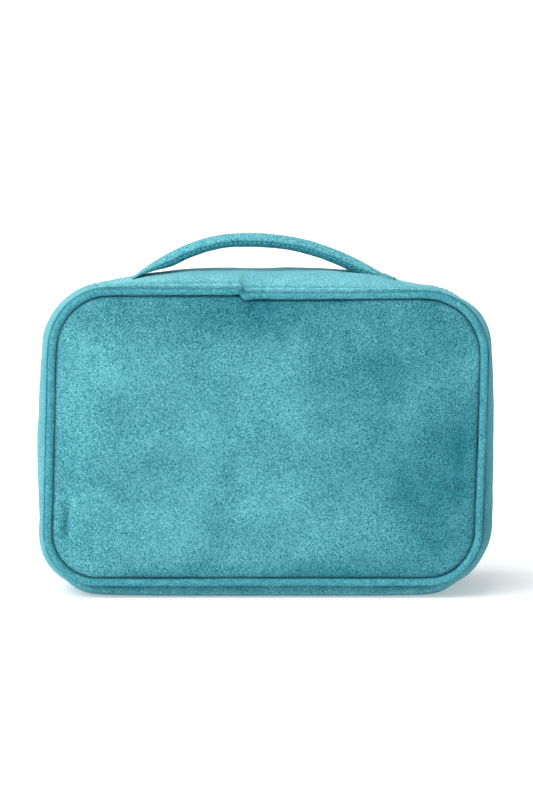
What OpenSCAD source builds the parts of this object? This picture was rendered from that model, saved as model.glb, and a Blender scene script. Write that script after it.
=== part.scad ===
// Soft makeup case: a deep body and a shallow zipped lid, both edged with
// piping, with a padded strap handle on top. Millimetres, +Z up. The origin is
// in the middle of the footprint, at the surface that the case stands on. The
// plain rear panel faces -Y and the lid faces +Y, hinged along its lower edge.

/* [Case] */
// Width between the side pipings, centre to centre
panel_w = 239; // [210:1:280]
// Height between the top and bottom pipings, centre to centre
panel_h = 157.6; // [140:0.2:190]
// Depth between the rear and lid pipings, centre to centre
case_depth = 95; // [90:1:120]
// Radius of the panel corners, at the centre of the piping
corner_r = 28; // [26:1:36]
// How far the gusset swells out beyond the centre of the piping
swell = 10.8; // [10:0.2:13]
// Diameter of the piping
piping_d = 4.4; // [4:0.2:5]
// Diameter of the filler cord inside the piping
piping_cord_d = 2.6; // [2:0.2:3]

/* [Walls] */
// Thickness of the outer cloth
cloth_t = 1.4; // [1:0.1:1.6]
// Thickness of the foam in the gusset
foam_t = 3; // [2:0.25:3]
// Thickness of the lining
lining_t = 0.8; // [0.5:0.1:0.8]
// Thickness of the foam in the two panels
panel_foam_t = 3.9; // [3:0.1:5]
// Thickness of the stiff board in the base
board_t = 1.6; // [1:0.2:2]

/* [Zip] */
// How far the zip runs into each bottom corner, in degrees
zip_end_angle = 39; // [20:1:45]
// Distance of the zip's centre line from the lid piping
zip_inset = 13; // [12.5:0.5:15]
// Rest position of each slider from the middle of the top
slider_rest = 7; // [6:0.5:20]
// Length of the pull tabs
pull_l = 22; // [16:1:26]

/* [Handle] */
// Height of the handle's top above the crest of the gusset
handle_h = 20.1; // [19:0.1:30]
// Width of the strap
strap_w = 18; // [14:1:20]
// Thickness of the padded strap
strap_t = 6.4; // [5:0.2:7]
// How far the handle leans to either side, in degrees
handle_lean = 25; // [10:1:25]

/* [Hidden] */
$fn = 48;

// Clearance between sewn pieces of one body, and between pieces that part
gap = 0.1;
free_gap = 0.3;

// The rounded rectangle that every ring follows is set by its corner centres
cx = panel_w / 2 - corner_r;
r_crest = corner_r + swell;
z_lo = r_crest;
z_hi = z_lo + panel_h - 2 * corner_r;
z_mid = (z_lo + z_hi) / 2;
crest_z = z_hi + r_crest;
corner_at = [[cx, z_hi], [-cx, z_hi], [-cx, z_lo], [cx, z_lo]];
side_at = [[cx, z_mid], [0, z_hi], [-cx, z_mid], [0, z_lo]];
side_len = [z_hi - z_lo, 2 * cx, z_hi - z_lo, 2 * cx];

// Section of the gusset: crown(y) is its distance from the corner centres
piping_y = case_depth / 2;
edge_y = piping_y - piping_d / 2 - gap;
zip_y = piping_y - zip_inset;
mouth_half = 4;
case_lip_y = zip_y - mouth_half;
lid_lip_y = zip_y + mouth_half;
crest_y0 = -20;
crest_y1 = 10;
r_edge = corner_r + 2;
r_lip = r_edge + 0.8;

function fall(y, y0, y1, r0, r1) = r0 - (r0 - r1) * pow((y - y0) / (y1 - y0), 2);
function crown_rule(y) =
    y < crest_y0 ? fall(y, crest_y0, -edge_y, r_crest, r_edge) :
    y <= crest_y1 ? r_crest :
    y <= case_lip_y ? fall(y, crest_y1, case_lip_y, r_crest, r_lip) :
    fall(y, lid_lip_y, edge_y, r_lip, r_edge);
crown_y = [
    for (i = [0:5]) -edge_y + i * (crest_y0 + edge_y) / 5,
    for (i = [0:4]) crest_y1 + i * (case_lip_y - crest_y1) / 4,
    for (i = [0:3]) lid_lip_y + i * (edge_y - lid_lip_y) / 3
];
crown = [for (y = crown_y) [y, crown_rule(y)]];

// Depths of the layers under the gusset's outer surface
t_foam = cloth_t + gap;
t_lining = t_foam + foam_t + gap;
t_inside = t_lining + lining_t;

// Depths of the layers of a panel, out from its lining's inner face
panel_in_y = piping_y - 2.8;
panel_foam_y = panel_in_y + lining_t + gap;
panel_cloth_y = panel_foam_y + panel_foam_t + gap;
r_panel = corner_r - piping_d / 2 - 0.2;

// Zip: tape, coil and slider, as distances from the corner centres
r_tape = r_lip - 1.8;
tape_t = 0.6;
coil_h = 1.15;
tape_gap = 0.8;
coil_w = 1.7;
tape_w = 5.7;
slider_l = 9;
slider_w = 7;
plate_t = 0.8;
r_plate_lo = r_tape - tape_t - free_gap;
r_plate_hi = r_tape + coil_h + free_gap;
bridge_w = 1.6;
bridge_leg = 0.9;
bridge_in = 1.5;
bridge_t = 0.7;
pull_pivot_h = 0.75;
pull_t = 1;
pull_w = 6;

// Handle: the strap's top follows a curve that falls away from its apex
handle_y = -2;
apex_x = -11;
arch_power = 2.1;
arch_left = [64.4, 24.9];
arch_right = [84.4, 27.7];
handle_top = crest_z + handle_h;
strap_lift = (strap_w / 2 * sin(handle_lean) + free_gap) / cos(handle_lean);
function arch_side(x) = x < apex_x ? arch_left : arch_right;
function arch_z(x) =
    handle_top - arch_side(x)[1] * pow(abs(x - apex_x) / arch_side(x)[0], arch_power);
function arch_reach(side, drop) = side[0] * pow(drop / side[1], 1 / arch_power);
strap_drop = handle_h - strap_t - strap_lift;
strap_x0 = apex_x - arch_reach(arch_left, strap_drop);
strap_x1 = apex_x + arch_reach(arch_right, strap_drop);
end_drop = handle_h - 1;
end_x0 = apex_x - arch_reach(arch_left, end_drop);
end_x1 = apex_x + arch_reach(arch_right, end_drop);

// Colours
suede = [0.34, 0.67, 0.72];
suede_light = [0.48, 0.77, 0.81];
foam_c = [0.86, 0.86, 0.84];
lining_c = [0.16, 0.38, 0.44];
tape_c = [0.16, 0.47, 0.53];
metal_c = [0.83, 0.70, 0.44];
board_c = [0.25, 0.25, 0.27];

// Band of the gusset's section between two depths, from y0 to y1
module layer(y0, y1, t0, t1) {
    ys = [y0, for (y = crown_y) if (y > y0 && y < y1) y, y1];
    outside = [for (y = ys) [lookup(y, crown) - t0, y]];
    inside = [for (i = [len(ys) - 1:-1:0]) [lookup(ys[i], crown) - t1, ys[i]]];
    polygon(concat(outside, inside));
}

// Flat section: from r0 to r1 outward and from y0 to y1 in depth
module block(r0, r1, y0, y1) {
    translate([r0, y0]) square([r1 - r0, y1 - y0]);
}

// Turns a section about corner q, between two angles from +X towards +Z
module corner(q, a0, a1) {
    translate([corner_at[q][0], 0, corner_at[q][1]])
        rotate([0, -a1, 0])
            rotate([-90, 0, 0])
                rotate_extrude(angle = a1 - a0) children();
}

// Runs a section along side q: 0 right, 1 top, 2 left, 3 bottom
module straight(q) {
    translate([side_at[q][0], 0, side_at[q][1]])
        rotate([0, -90 * q, 0])
            linear_extrude(side_len[q], center = true) children();
}

// Runs a section all the way round
module ring() {
    for (q = [0:3]) {
        corner(q, 90 * q, 90 * q + 90) children();
        straight(q) children();
    }
}

// Cutters: the room below or above two rays that leave the lower corner centres
// at an angle below level, and the room between two that leave the upper ones
// at an angle from upright
zone_r = 80;
module lower_zone(angle, y0, y1) {
    dx = zone_r * cos(angle);
    dz = zone_r * sin(angle);
    translate([0, y1, 0]) rotate([90, 0, 0]) linear_extrude(y1 - y0)
        polygon([[-cx, z_lo], [-cx - dx, z_lo - dz], [-cx - dx, -zone_r],
                 [cx + dx, -zone_r], [cx + dx, z_lo - dz], [cx, z_lo]]);
}

module upper_zone(angle, y0, y1) {
    dx = zone_r * cos(angle);
    dz = zone_r * sin(angle);
    translate([0, y1, 0]) rotate([90, 0, 0]) linear_extrude(y1 - y0)
        polygon([[-cx, z_lo], [-cx - dx, z_lo - dz], [-cx - dx, z_hi + zone_r],
                 [cx + dx, z_hi + zone_r], [cx + dx, z_lo - dz], [cx, z_lo]]);
}

module top_zone(angle) {
    dx = zone_r * sin(angle);
    dz = zone_r * cos(angle);
    translate([0, case_depth, 0]) rotate([90, 0, 0]) linear_extrude(2 * case_depth)
        polygon([[-cx, z_hi], [-cx - dx, z_hi + dz], [cx + dx, z_hi + dz], [cx, z_hi]]);
}

// Runs a section over the top and down both sides, as far as the zip goes
module arch_run() {
    difference() {
        ring() children();
        lower_zone(zip_end_angle, -case_depth, case_depth);
    }
}

// Flat sheet with the panel's outline, from y0 to y1
module sheet(y0, y1) {
    translate([0, y1, z_mid])
        rotate([90, 0, 0])
            linear_extrude(y1 - y0) {
                square([2 * cx, 2 * (z_hi - z_mid + r_panel)], center = true);
                square([2 * (cx + r_panel), z_hi - z_lo], center = true);
                for (x = [-cx, cx]) {
                    for (z = [z_lo - z_mid, z_hi - z_mid]) {
                        translate([x, z]) circle(r_panel);
                    }
                }
            }
}

// Tube of cloth round the filler cord
module piping_section(y) {
    translate([corner_r, y])
        difference() {
            circle(d = piping_d);
            circle(d = piping_cord_d + gap);
        }
}

// ---- the case ----

module rear_panel() {
    color(suede) sheet(-panel_cloth_y - cloth_t, -panel_cloth_y);
}

module rear_panel_foam() {
    color(foam_c) sheet(-panel_foam_y - panel_foam_t, -panel_foam_y);
}

module rear_panel_lining() {
    color(lining_c) sheet(-panel_in_y - lining_t, -panel_in_y);
}

module rear_piping() {
    color(suede) ring() piping_section(-piping_y);
}

module rear_piping_cord() {
    color(foam_c) ring() translate([corner_r, -piping_y]) circle(d = piping_cord_d);
}

// Folded tape over the raw edges, inside the case
module rear_seam_binding() {
    color(lining_c) ring() block(r_panel + 0.3, corner_r + 0.4, -panel_in_y + gap, -38.2);
}

// The gusset's top strip ends in a seam just past each top corner's start
seam_angle = 7;
seam_gap_angle = 0.2;
module gusset_top() {
    color(suede_light)
        intersection() {
            ring() layer(-edge_y, case_lip_y, 0, cloth_t);
            top_zone(seam_angle);
        }
}

// One strip round the sides and the base. Below the ends of the zip it is
// full width, and reaches the lid's piping.
case_edge_y = piping_y - piping_d / 2 - free_gap - gap;
base_angle = zip_end_angle + 2;
module gusset_surround() {
    color(suede)
        difference() {
            ring() layer(-edge_y, case_edge_y, 0, cloth_t);
            upper_zone(base_angle, case_lip_y, case_depth);
            top_zone(seam_angle + seam_gap_angle);
        }
}

inner_y0 = -37;
module gusset_foam() {
    color(foam_c) ring() layer(inner_y0, case_lip_y - 7, t_foam, t_foam + foam_t);
}

lining_y1 = case_lip_y - 1.5;
module gusset_lining() {
    color(lining_c)
        difference() {
            ring() layer(inner_y0, case_edge_y - 1.4, t_lining, t_inside);
            upper_zone(base_angle, lining_y1, case_depth);
        }
}

board_y0 = -26;
board_y1 = 16;
board_z = t_inside + 0.6;
module base_board() {
    color(board_c) translate([-cx + 6, board_y0, board_z]) cube([2 * cx - 12, board_y1 - board_y0, board_t]);
}

// Tape that carries the lid's lower seam, inside the case
module hinge_tape() {
    color(tape_c) straight(3) layer(lid_lip_y, case_edge_y - 0.5, t_inside + gap, t_inside + 0.7);
}

module zip_tape_case() {
    color(tape_c) arch_run()
        block(r_tape - tape_t, r_tape, zip_y - tape_gap - tape_w, zip_y - tape_gap);
}

module zip_coil_case() {
    color(tape_c) arch_run()
        block(r_tape, r_tape + coil_h, zip_y - tape_gap - gap - coil_w, zip_y - tape_gap - gap);
}

// Patch of cloth over each end of the zip
tab_half = 2;
module zip_end_tab(q, a) {
    color(suede) corner(q, a - tab_half, a + tab_half)
        block(r_plate_hi, r_plate_hi + 0.9, case_lip_y + 0.2, lid_lip_y - free_gap);
}

module zip_end_tab_left() {
    zip_end_tab(2, 180 + zip_end_angle - 1);
}

module zip_end_tab_right() {
    zip_end_tab(3, 360 - zip_end_angle + 1);
}

// Pockets: a flat sheet on the wall, with an elastic band along its mouth
pocket_half_w = cx + 12;
pocket_z0 = 18;
elastic_h = 6;
module pocket_sheet(y, t, h) {
    translate([-pocket_half_w, y, pocket_z0]) cube([2 * pocket_half_w, t, h]);
}

module pocket_band(y, t, h) {
    translate([-pocket_half_w, y, pocket_z0 + h + gap]) cube([2 * pocket_half_w, t, elastic_h]);
}

slip_pocket_h = 82;
module slip_pocket() {
    color(lining_c) pocket_sheet(-panel_in_y + 0.2, 0.6, slip_pocket_h);
}

module slip_pocket_elastic() {
    color(tape_c) pocket_band(-panel_in_y + 0.2, 1.2, slip_pocket_h);
}

// ---- the handle ----

// Strap from x0 to x1, shrunk by inset on every side
module strap(x0, x1, inset, floor_z, steps) {
    xs = [for (i = [0:steps]) x0 + (x1 - x0) * i / steps];
    over = [for (x = xs) [x, arch_z(x) - inset]];
    under = [for (i = [steps:-1:0]) [xs[i], max(arch_z(xs[i]) - strap_t + inset, floor_z)]];
    translate([0, handle_y + strap_w / 2 - inset, 0])
        rotate([90, 0, 0])
            linear_extrude(strap_w - 2 * inset) polygon(concat(over, under));
}

strap_cover_t = 1.2;
module handle_strap() {
    color(suede_light)
        difference() {
            strap(strap_x0, strap_x1, 0, crest_z, 24);
            strap(strap_x0 + 3, strap_x1 - 3, strap_cover_t, crest_z, 24);
        }
}

module handle_padding() {
    color(foam_c) strap(strap_x0 + 3.1, strap_x1 - 3.1, strap_cover_t + gap, crest_z, 24);
}

// The strap's ends, sewn flat to the crest of the gusset
module handle_end_left() {
    color(suede_light) strap(end_x0, strap_x0 - free_gap, 0, crest_z + gap, 8);
}

module handle_end_right() {
    color(suede_light) strap(strap_x1 + free_gap, end_x1, 0, crest_z + gap, 8);
}

// ---- the lid ----

module lid_panel() {
    color(suede) sheet(panel_cloth_y, panel_cloth_y + cloth_t);
}

module lid_panel_foam() {
    color(foam_c) sheet(panel_foam_y, panel_foam_y + panel_foam_t);
}

module lid_panel_lining() {
    color(lining_c) sheet(panel_in_y, panel_in_y + lining_t);
}

module lid_piping() {
    color(suede) ring() piping_section(piping_y);
}

module lid_piping_cord() {
    color(foam_c) ring() translate([corner_r, piping_y]) circle(d = piping_cord_d);
}

lid_seam_y = panel_in_y - 2.5;
module lid_seam_binding() {
    color(lining_c) arch_run()
        block(r_panel + 0.3, corner_r + 0.4, lid_seam_y, panel_in_y - gap);
}

module lid_gusset() {
    color(suede) arch_run() layer(lid_lip_y, edge_y, 0, cloth_t);
}

module lid_gusset_lining() {
    color(lining_c) arch_run() layer(lid_lip_y + 0.3, lid_seam_y - 0.2, 3.6, 4.2);
}

module zip_tape_lid() {
    color(tape_c) arch_run()
        block(r_tape - tape_t, r_tape, zip_y + tape_gap, zip_y + tape_gap + tape_w);
}

module zip_coil_lid() {
    color(tape_c) arch_run()
        block(r_tape, r_tape + coil_h, zip_y + tape_gap + gap, zip_y + tape_gap + gap + coil_w);
}

mesh_pocket_h = 77;
module mesh_pocket() {
    color(tape_c) pocket_sheet(panel_in_y - 0.9, 0.6, mesh_pocket_h);
}

module mesh_pocket_elastic() {
    color(lining_c) pocket_band(panel_in_y - 1.4, 1.2, mesh_pocket_h);
}

// ---- the zip's sliders, on the straight stretch along the top ----

// Slider for the side d = -1 left or 1 right. Its slot is open towards the
// lid, whose half of the zip leaves it when the lid opens.
module zip_slider(d) {
    top = z_hi + r_plate_hi;
    nose_l = 2.5;
    lip_t = 0.6;
    color(metal_c) translate([d * slider_rest, zip_y, 0]) {
        translate([-slider_l / 2, -slider_w / 2, top]) cube([slider_l, slider_w, plate_t]);
        translate([-slider_l / 2, -slider_w / 2, z_hi + r_plate_lo - plate_t])
            cube([slider_l, slider_w, plate_t]);
        translate([-d * (slider_l - nose_l) / 2 - nose_l / 2, -0.5, z_hi + r_plate_lo - gap])
            cube([nose_l, 1, r_plate_hi - r_plate_lo + 2 * gap]);
        translate([-slider_l / 2, -slider_w / 2, top - 1]) cube([slider_l, lip_t, 1 + gap]);
        for (x = [-3, 3]) {
            translate([x - bridge_leg / 2, -bridge_w / 2, top + plate_t - gap])
                cube([bridge_leg, bridge_w, bridge_in + 2 * gap]);
        }
        translate([-3 - bridge_leg / 2, -bridge_w / 2, top + plate_t + bridge_in])
            cube([6 + bridge_leg, bridge_w, bridge_t]);
    }
}

// Pull tab: a flat loop whose end bar lies under the slider's bridge
module zip_pull(d) {
    hole_l = 5;
    hole_w = 2.8;
    color(metal_c)
        translate([d * slider_rest, zip_y, z_hi + r_plate_hi + plate_t + pull_pivot_h]) {
            rotate([90, 0, 0]) cylinder(d = pull_t, h = pull_w - 1, center = true);
            mirror([d < 0 ? 1 : 0, 0, 0])
                translate([0, 0, -pull_t / 2])
                    linear_extrude(pull_t)
                        difference() {
                            union() {
                                translate([0, -pull_w / 2]) square([pull_l - pull_w / 2, pull_w]);
                                translate([pull_l - pull_w / 2, 0]) circle(d = pull_w);
                            }
                            translate([0.4, -hole_w / 2]) square([hole_l, hole_w]);
                            translate([pull_l - pull_w / 2, 0]) circle(d = 2.4);
                        }
        }
}

module zip_slider_left() { zip_slider(-1); }
module zip_pull_left() { zip_pull(-1); }
module zip_slider_right() { zip_slider(1); }
module zip_pull_right() { zip_pull(1); }

rear_panel();
rear_panel_foam();
rear_panel_lining();
rear_piping();
rear_piping_cord();
rear_seam_binding();
gusset_top();
gusset_surround();
gusset_foam();
gusset_lining();
base_board();
hinge_tape();
zip_tape_case();
zip_coil_case();
zip_end_tab_left();
zip_end_tab_right();
slip_pocket();
slip_pocket_elastic();
handle_end_left();
handle_end_right();
handle_strap();
handle_padding();
lid_panel();
lid_panel_foam();
lid_panel_lining();
lid_piping();
lid_piping_cord();
lid_seam_binding();
lid_gusset();
lid_gusset_lining();
zip_tape_lid();
zip_coil_lid();
mesh_pocket();
mesh_pocket_elastic();
zip_slider_left();
zip_pull_left();
zip_slider_right();
zip_pull_right();
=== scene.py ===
"""The looks of the makeup case. Metres, +Z up; the plain rear panel faces -Y and the zipped lid faces +Y."""
import math

import bmesh
import bpy
import numpy as np
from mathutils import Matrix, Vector, noise


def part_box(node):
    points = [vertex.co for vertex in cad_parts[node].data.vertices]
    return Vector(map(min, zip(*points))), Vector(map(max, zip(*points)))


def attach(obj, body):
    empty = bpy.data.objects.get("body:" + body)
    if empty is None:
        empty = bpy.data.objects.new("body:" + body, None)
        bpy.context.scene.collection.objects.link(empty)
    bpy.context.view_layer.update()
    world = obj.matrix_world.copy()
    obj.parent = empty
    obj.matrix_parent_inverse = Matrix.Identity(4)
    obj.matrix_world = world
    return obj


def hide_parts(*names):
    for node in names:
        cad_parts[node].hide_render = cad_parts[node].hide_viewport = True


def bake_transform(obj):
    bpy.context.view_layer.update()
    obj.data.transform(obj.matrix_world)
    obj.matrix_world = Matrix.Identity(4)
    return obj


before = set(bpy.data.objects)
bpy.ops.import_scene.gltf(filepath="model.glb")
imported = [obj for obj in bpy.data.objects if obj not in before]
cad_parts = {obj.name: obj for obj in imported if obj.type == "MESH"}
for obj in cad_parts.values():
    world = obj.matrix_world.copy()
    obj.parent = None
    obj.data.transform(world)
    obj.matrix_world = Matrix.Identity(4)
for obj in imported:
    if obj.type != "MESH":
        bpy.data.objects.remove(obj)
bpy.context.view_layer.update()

MM = 0.001

# ---- measures: from the frame, and the few that it doesn't show ----

CORNER_R = 28 * MM
CLOTH = 1.4 * MM
FOAM_DEPTH = (1.5 * MM, 4.5 * MM)
LINING_DEPTH = (4.6 * MM, 5.4 * MM)

pipe_lo, pipe_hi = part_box("rear_piping")
PIPE_R = (pipe_hi.y - pipe_lo.y) / 2
PIPE_Y = -(pipe_hi.y + pipe_lo.y) / 2
CORD_R = (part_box("rear_piping_cord")[1].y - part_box("rear_piping_cord")[0].y) / 2
CX = pipe_hi.x - PIPE_R - CORNER_R
Z_HI = pipe_hi.z - PIPE_R - CORNER_R
Z_LO = pipe_lo.z + PIPE_R + CORNER_R
Z_MID = (Z_HI + Z_LO) / 2
HALF_Z = (Z_HI - Z_LO) / 2

EDGE_Y = -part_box("gusset_top")[0].y
CASE_LIP_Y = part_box("gusset_top")[1].y
LID_LIP_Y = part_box("lid_gusset")[0].y
CASE_EDGE_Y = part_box("gusset_surround")[1].y
R_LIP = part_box("lid_gusset")[1].z - Z_HI
R_EDGE = R_LIP - 0.8 * MM
CREST_Y = (-20 * MM, 10 * MM)

strap_lo, strap_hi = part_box("handle_strap")
STRAP_Y = (strap_lo.y + strap_hi.y) / 2
STRAP_HALF = (strap_hi.y - strap_lo.y) / 2
PANEL_FRONT_Y = -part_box("rear_panel")[0].y
PANEL_BACK_Y = -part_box("rear_panel_foam")[1].y
R_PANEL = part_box("rear_panel")[1].x - CX

# ---- the ring that every edge follows ----

CORNER_LEN = math.pi / 2 * CORNER_R
SIDE_LEN = Z_HI - Z_LO
TOP_RIGHT = CX
RIGHT = TOP_RIGHT + CORNER_LEN
BOTTOM_RIGHT = RIGHT + SIDE_LEN
BASE = BOTTOM_RIGHT + CORNER_LEN
BOTTOM_LEFT = BASE + 2 * CX
LEFT = BOTTOM_LEFT + CORNER_LEN
TOP_LEFT = LEFT + SIDE_LEN
TOP = TOP_LEFT + CORNER_LEN
RING_LEN = TOP + CX
# How far round a corner the top's seam, the end tabs' middle, the zip's end and the gusset's step lie
SEAM_TURN, ZIP_TAB, ZIP_TURN, GUSSET_STEP = (degrees / 90 * CORNER_LEN for degrees in (7, 38, 39, 41))
RING_MARKS = [0, TOP_RIGHT, RIGHT, BOTTOM_RIGHT, BASE, BOTTOM_LEFT, LEFT, TOP_LEFT, TOP, RING_LEN]


def smooth(t):
    """0 below 0, 1 above 1, and an even curve between."""
    t = np.clip(t, 0, 1)
    return t * t * (3 - 2 * t)


def ring_at(s):
    """Corner-centre point (x, z) and outward direction at distance s round the case, from the middle of the
    top towards +X."""
    s = np.mod(s, RING_LEN)
    x = np.interp(s, RING_MARKS, [0, CX, CX, CX, CX, -CX, -CX, -CX, -CX, 0])
    z = np.interp(s, RING_MARKS, [Z_HI, Z_HI, Z_HI, Z_LO, Z_LO, Z_LO, Z_LO, Z_HI, Z_HI, Z_HI])
    angle = np.radians(np.interp(s, RING_MARKS, [90, 90, 0, 0, -90, -90, -180, -180, -270, -270]))
    return x, z, np.cos(angle), np.sin(angle)


def around(s, y, r):
    """Points at distance r from the corner centres and at depth y, at distance s round the case."""
    s, y, r = np.broadcast_arrays(s, y, r)
    x, z, out_x, out_z = ring_at(s)
    return np.stack([x + out_x * r, y, z + out_z * r], axis=-1)


def stations(start, end, step):
    return np.linspace(start, end, max(2, int(round(abs(end - start) / step)) + 1))


def whole_ring(step):
    return np.linspace(0, RING_LEN, int(round(RING_LEN / step)), endpoint=False)


# How far the gusset swells over its edges, in millimetres, at places round the case: most over the flat top
# and base, least at the top corners. The strap pulls the top up, and the cloth falls away to both shoulders.
SWELL = [
    (0, 8.8), (32 * MM, 8.7), (50 * MM, 7.4), (72 * MM, 4.6), (TOP_RIGHT, 2.2),
    (TOP_RIGHT + CORNER_LEN / 2, 2.2), (RIGHT, 3.2), (RIGHT + SIDE_LEN * 0.3, 5.2),
    (RIGHT + SIDE_LEN * 0.6, 6.2),
    (BOTTOM_RIGHT, 7.2), (BOTTOM_RIGHT + CORNER_LEN / 2, 7.6), (BASE - CORNER_LEN / 5, 7.1), (BASE, 6.8),
    (BASE + 14 * MM, 7.9), (BASE + 34 * MM, 8.8), (BOTTOM_LEFT - 36 * MM, 8.8), (BOTTOM_LEFT - 16 * MM, 7.8),
    (BOTTOM_LEFT, 6.6), (BOTTOM_LEFT + CORNER_LEN / 5, 6.9), (BOTTOM_LEFT + CORNER_LEN / 2, 7.6), (LEFT, 4.6),
    (LEFT + SIDE_LEN * 0.5, 6.6), (TOP_LEFT, 5.2), (TOP_LEFT + CORNER_LEN / 2, 2.6),
    (TOP, 2.6), (RING_LEN - 72 * MM, 5.6), (RING_LEN - 42 * MM, 8.7), (RING_LEN, 8.8),
]
swell_s = np.linspace(0, RING_LEN, 1500, endpoint=False)
swell_raw = np.interp(swell_s, [s for s, _ in SWELL], [h for _, h in SWELL]) * MM
swell_blur = np.hanning(33) / np.hanning(33).sum()
swell_table = np.convolve(np.concatenate([swell_raw[-16:], swell_raw, swell_raw[:16]]), swell_blur, "valid")


def swell(s):
    return np.interp(np.mod(s, RING_LEN), swell_s, swell_table, period=RING_LEN)


def base_share(s):
    """1 along the base, 0 along the sides and the top."""
    s = np.mod(s, RING_LEN)
    start = BOTTOM_RIGHT + 0.62 * CORNER_LEN
    end = LEFT - 0.62 * CORNER_LEN
    return smooth((s - start) / (0.5 * CORNER_LEN)) * smooth((end - s) / (0.5 * CORNER_LEN))


def gusset_r(s, y):
    """Distance of the gusset's outer surface from the corner centres."""
    s, y = np.broadcast_arrays(s, y)
    share = base_share(s)
    front = np.clip((CREST_Y[0] - y) / (CREST_Y[0] + EDGE_Y), 0, 1)
    back_y = CASE_LIP_Y + (CASE_EDGE_Y - CASE_LIP_Y) * share
    back = np.clip((y - CREST_Y[1]) / (back_y - CREST_Y[1]), 0, 1)
    fall = np.maximum(front ** (2.2 + 11 * share), back ** (2 + 0.8 * share))
    lip = (R_LIP - R_EDGE) * smooth((y - CREST_Y[1]) / (CASE_LIP_Y - CREST_Y[1])) * (1 - share)
    lip = lip * (1 - np.clip((y - LID_LIP_Y) / (EDGE_Y - LID_LIP_Y), 0, 1) ** 2)
    return R_EDGE + lip + swell(s) * (1 - fall)


# The soft case isn't true: it leans to the right as it rises, its front is a little taller than its lid,
# and right of the piping's joint its front top edge sags. Both shoulders droop behind the front, zip and lid
# included, beyond the stretch of the top that the sliders run on. The front's top corners are drawn in.
LEAN = 0.028
FRONT_GROW = (0.02, 0.037)
SAG = 2.4 * MM
DROOP = (2.4 * MM, 4.2 * MM)
PULL = (1.2 * MM, 2.8 * MM)
JOINT_X = -16.0 * MM


FLOOR_CLEAR = 0.2 * MM
FLOOR_SOFT = 1.0 * MM


def rest_on_floor(z):
    """Heights pressed up near the floor. Cloth keeps its order there, so no two layers meet."""
    start = FLOOR_CLEAR + FLOOR_SOFT
    below = np.minimum(z, start) - FLOOR_CLEAR - FLOOR_SOFT
    return np.where(z > start, z, FLOOR_CLEAR + FLOOR_SOFT * np.exp(below / FLOOR_SOFT))


def warp(p):
    """Where the soft case really holds points p of the true one."""
    x, y, z = p[..., 0], p[..., 1], p[..., 2]
    side = 1 - smooth((y + 20 * MM) / (30 * MM))
    front = 1 - smooth((y + 44 * MM) / (22 * MM))
    rise = z - Z_MID
    sag = SAG * smooth((x - JOINT_X + 1 * MM) / (3.4 * MM)) * (1 - 0.3 * smooth((x - 10 * MM) / (90 * MM)))
    sag = sag * smooth((rise - 38 * MM) / (34 * MM))
    droop = DROOP[0] * smooth((-x - 58 * MM) / (40 * MM)) + DROOP[1] * smooth((x - 54 * MM) / (44 * MM))
    droop = droop * smooth((y + 46 * MM) / (34 * MM)) * smooth(rise / (62 * MM))
    grow = np.where(rise > 0, FRONT_GROW[1], FRONT_GROW[0])
    upper = smooth((rise - HALF_Z + 10 * MM) / (24 * MM)) * front
    pull = [upper * smooth((way * x - CX + 10 * MM) / (24 * MM)) * deep for way, deep in zip((-1, 1), PULL)]
    x = x + LEAN * rise * side + 0.7 * (pull[0] - pull[1])
    z = z + (grow * rise - sag) * front - droop - 0.7 * (pull[0] + pull[1])
    return np.stack([x, y, rest_on_floor(z)], axis=-1)


def lumps(p, size, seed, octaves=2):
    """Smooth noise, about -1 to 1, at points p, with lumps about size across."""
    shift = Vector((7.3, 3.1, 5.7)) * seed
    flat = p.reshape(-1, 3) / size
    found = [noise.fractal(Vector(q) + shift, 1.0, 2.0, octaves) for q in flat]
    return np.array(found).reshape(p.shape[:-1])


# ---- making pieces ----


def paint(obj, shade_and_mottle):
    """Painted light and shade at each point, beyond the material's own patches; on the rear panel
    also a chance mottle.
    """
    attribute = obj.data.attributes.new("shade_and_mottle", "FLOAT", "POINT")
    attribute.data.foreach_set("value", np.asarray(shade_and_mottle, np.float32).ravel())


def piece(name, points, faces, look, body, stands_for=(), even=True):
    """A mesh piece with a material, on a body. body may be None for a piece attached later or to no body."""
    mesh = bpy.data.meshes.new(name)
    mesh.from_pydata(np.asarray(points).reshape(-1, 3).tolist(), [], faces)
    work = bmesh.new()
    work.from_mesh(mesh)
    bmesh.ops.recalc_face_normals(work, faces=work.faces)
    work.to_mesh(mesh)
    work.free()
    mesh.polygons.foreach_set("use_smooth", [even] * len(mesh.polygons))
    mesh.materials.append(look)
    obj = bpy.data.objects.new(name, mesh)
    bpy.context.scene.collection.objects.link(obj)
    if body:
        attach(obj, body)
    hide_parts(*stands_for)
    return obj


def subdivide(obj, levels=1):
    modifier = obj.modifiers.new("Smooth", "SUBSURF")
    modifier.levels = levels
    modifier.render_levels = levels
    return obj


def grid_faces(rows, columns, wrap_rows, wrap_columns, first=0):
    faces = []
    for i in range(rows if wrap_rows else rows - 1):
        for j in range(columns if wrap_columns else columns - 1):
            a, b = first + i * columns, first + (i + 1) % rows * columns
            k = (j + 1) % columns
            faces.append((a + j, a + k, b + k, b + j))
    return faces


def band_faces(rows, k, closed):
    """Faces of a run of sections: k points outside, one round the end, k inside, one round the start."""
    m = 2 * k + 2
    faces = grid_faces(rows, m, closed, True)
    if not closed:
        for a in (0, (rows - 1) * m):
            faces += [(a + j, a + j + 1, a + 2 * k - j - 1, a + 2 * k - j) for j in range(k - 1)]
            faces += [(a + k - 1, a + k, a + k + 1), (a, a + 2 * k, a + 2 * k + 1)]
    return faces


def tube_faces(count, steps, sides):
    """Faces of separate tubes with closed ends, each of so many steps."""
    faces = []
    for i in range(count):
        first = i * steps * sides
        faces += grid_faces(steps, sides, False, True, first)
        faces.append(tuple(first + j for j in range(sides)))
        faces.append(tuple(first + (steps - 1) * sides + j for j in reversed(range(sides))))
    return faces


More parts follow.
